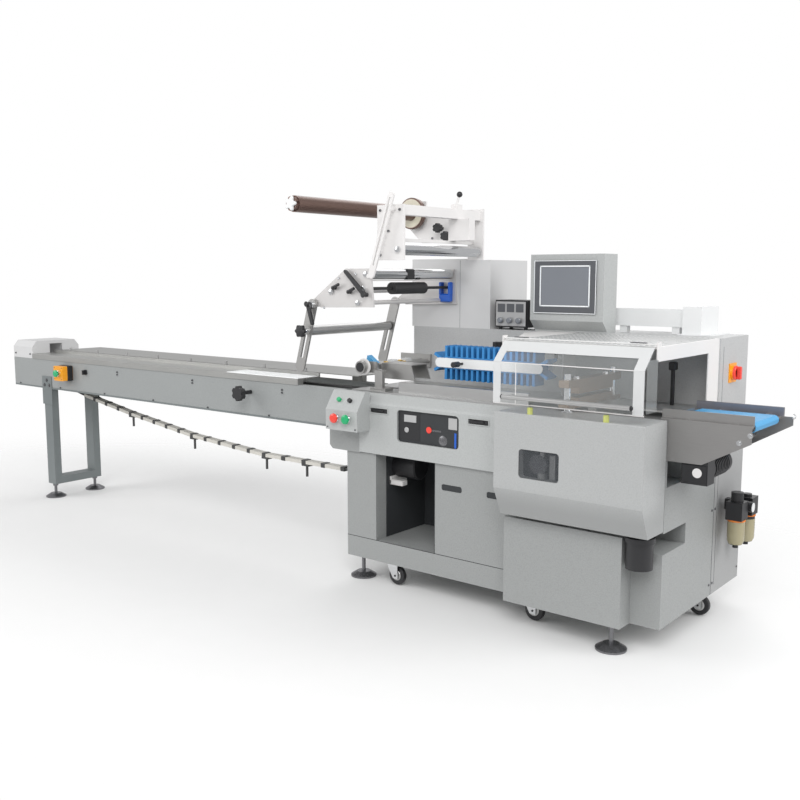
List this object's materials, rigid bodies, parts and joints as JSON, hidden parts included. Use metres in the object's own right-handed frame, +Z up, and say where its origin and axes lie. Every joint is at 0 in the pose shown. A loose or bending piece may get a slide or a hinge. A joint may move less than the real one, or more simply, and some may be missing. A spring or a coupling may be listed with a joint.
{
  "type": "horizontal flow wrapper",
  "caption": "Horizontal flow wrapping machine with a long pusher-chain infeed, reel and film unit, brush hold-down, hooded sealing jaws, touch panel and short belt discharge.",
  "frame": {"origin": "centre of the overall box on the floor under the feet", "axes": "+X downstream along the product line, +Y away from the operator, +Z up"},
  "size_m": [4.324, 1.064, 1.5985],
  "materials": {
    "grey_hammer": "hammered grey enamel",
    "light_hammer": "hammered light grey enamel",
    "dark_grey": "smooth dark grey paint",
    "stainless": "brushed stainless steel",
    "chrome": "polished chrome",
    "black_plastic": "matte black plastic",
    "white_paint": "white paint",
    "acrylic": "clear acrylic",
    "yellow": "yellow plastic",
    "green": "green plastic",
    "red": "red plastic",
    "brush_blue": "blue nylon bristle",
    "belt_blue": "blue conveyor belt",
    "rubber": "black rubber",
    "bronze": "dark anodised aluminium",
    "jaw_steel": "heat-tinted steel",
    "chain_steel": "oiled chain steel",
    "panel_dark": "dark panel plastic"
  },
  "bodies": {
    "machine": {"infeed_front_panel": "grey_hammer", "infeed_rear_panel": "grey_hammer", "infeed_front_table": "stainless", "infeed_rear_table": "stainless", "infeed_tail_hood": "light_hammer", "infeed_leg_frame": "dark_grey", "infeed_chain": "chain_steel", "chain_pushers": "stainless", "start_station": "yellow", "control_box": "light_hammer", "start_buttons": "green", "stop_button": "red", "side_knobs": "black_plastic", "transition_panel": "light_hammer", "cabinet_body": "light_hammer", "cabinet_front_cover": "light_hammer", "cabinet_windows": "acrylic", "cabinet_lower_panel": "light_hammer", "deck_plate": "stainless", "rear_cabinet": "light_hammer", "film_column": "light_hammer", "seal_box": "light_hammer", "seal_motor": "black_plastic", "jaw_posts": "chrome", "guard_frame": "white_paint", "brush_frame": "white_paint", "brush_loop": "brush_blue", "film_former": "stainless", "discharge_plates": "stainless", "discharge_belt": "belt_blue", "discharge_motor": "stainless", "lower_film_plates": "stainless", "upper_film_frame": "stainless", "clamp_knobs": "black_plastic", "hmi_box": "light_hammer", "hmi_panel": "panel_dark", "temperature_controller": "panel_dark", "cable_trunking": "white_paint", "main_switch": "yellow", "air_unit": "black_plastic", "levelling_feet": "rubber"},
    "guard": {"guard_hood": "acrylic", "guard_handle": "chrome"},
    "upper_jaw_head": {"upper_jaw": "jaw_steel"},
    "lower_jaw_head": {"lower_jaw": "jaw_steel"},
    "mandrel": {"mandrel_shaft": "bronze"},
    "dancer": {"dancer_arms": "stainless"},
    "dancer_drum": {"dancer_roller": "stainless"},
    "top_drum": {"film_top_roller": "chrome"},
    "nip_drum": {"film_nip_roller": "rubber"},
    "upper_drum": {"film_upper_roller": "chrome"},
    "fork_1": {"castor_fork_1": "chrome"},
    "wheel_1": {"castor_wheel_1": "black_plastic"},
    "fork_2": {"castor_fork_2": "chrome"},
    "wheel_2": {"castor_wheel_2": "black_plastic"},
    "fork_3": {"castor_fork_3": "chrome"},
    "wheel_3": {"castor_wheel_3": "black_plastic"},
    "fork_4": {"castor_fork_4": "chrome"},
    "wheel_4": {"castor_wheel_4": "black_plastic"}
  },
  "joints": [
    {"name": "guard_hinge", "type": "hinge", "parent": "machine", "child": "guard", "pos_m": [1.569, -0.283, 1.047], "axis": [-1, 0, 0], "range_deg": [0, 95]},
    {"name": "upper_jaw_slide", "type": "slide", "parent": "machine", "child": "upper_jaw_head", "axis": [0, 0, 1], "range_m": [-0.004, 0.004]},
    {"name": "lower_jaw_slide", "type": "slide", "parent": "machine", "child": "lower_jaw_head", "axis": [0, 0, 1], "range_m": [-0.004, 0.004]},
    {"name": "mandrel_spin", "type": "hinge", "parent": "machine", "child": "mandrel", "pos_m": [0.494, -0.111, 1.531], "axis": [0, 1, 0], "continuous": true},
    {"name": "dancer_pivot", "type": "hinge", "parent": "machine", "child": "dancer", "pos_m": [0.402, -0.111, 1.146], "axis": [0, 1, 0], "range_deg": [-12, 20]},
    {"name": "dancer_roller_spin", "type": "hinge", "parent": "dancer", "child": "dancer_drum", "pos_m": [0.371, -0.111, 1.041], "axis": [0, 1, 0], "continuous": true},
    {"name": "top_roller_spin", "type": "hinge", "parent": "machine", "child": "top_drum", "pos_m": [0.68, -0.111, 1.269], "axis": [0, 1, 0], "continuous": true},
    {"name": "nip_roller_spin", "type": "hinge", "parent": "machine", "child": "nip_drum", "pos_m": [0.667, -0.111, 1.213], "axis": [0, 1, 0], "continuous": true},
    {"name": "upper_roller_spin", "type": "hinge", "parent": "machine", "child": "upper_drum", "pos_m": [0.814, -0.111, 1.361], "axis": [0, 1, 0], "continuous": true},
    {"name": "castor_swivel_1", "type": "hinge", "parent": "machine", "child": "fork_1", "pos_m": [0.686, -0.161, 0.095], "axis": [0, 0, 1], "continuous": true},
    {"name": "castor_wheel_spin_1", "type": "hinge", "parent": "fork_1", "child": "wheel_1", "pos_m": [0.708, -0.161, 0.0415], "axis": [0, 1, 0], "continuous": true},
    {"name": "castor_swivel_2", "type": "hinge", "parent": "machine", "child": "fork_2", "pos_m": [1.336, -0.161, 0.095], "axis": [0, 0, 1], "continuous": true},
    {"name": "castor_wheel_spin_2", "type": "hinge", "parent": "fork_2", "child": "wheel_2", "pos_m": [1.358, -0.161, 0.0415], "axis": [0, 1, 0], "continuous": true},
    {"name": "castor_swivel_3", "type": "hinge", "parent": "machine", "child": "fork_3", "pos_m": [1.788, 0.274, 0.095], "axis": [0, 0, 1], "continuous": true},
    {"name": "castor_wheel_spin_3", "type": "hinge", "parent": "fork_3", "child": "wheel_3", "pos_m": [1.81, 0.274, 0.0415], "axis": [0, 1, 0], "continuous": true},
    {"name": "castor_swivel_4", "type": "hinge", "parent": "machine", "child": "fork_4", "pos_m": [0.686, 0.429, 0.095], "axis": [0, 0, 1], "continuous": true},
    {"name": "castor_wheel_spin_4", "type": "hinge", "parent": "fork_4", "child": "wheel_4", "pos_m": [0.708, 0.429, 0.0415], "axis": [0, 1, 0], "continuous": true}
  ],
  "couplings": [
    {"joint": "lower_jaw_slide", "follows": "upper_jaw_slide", "ratio": -1}
  ]
}
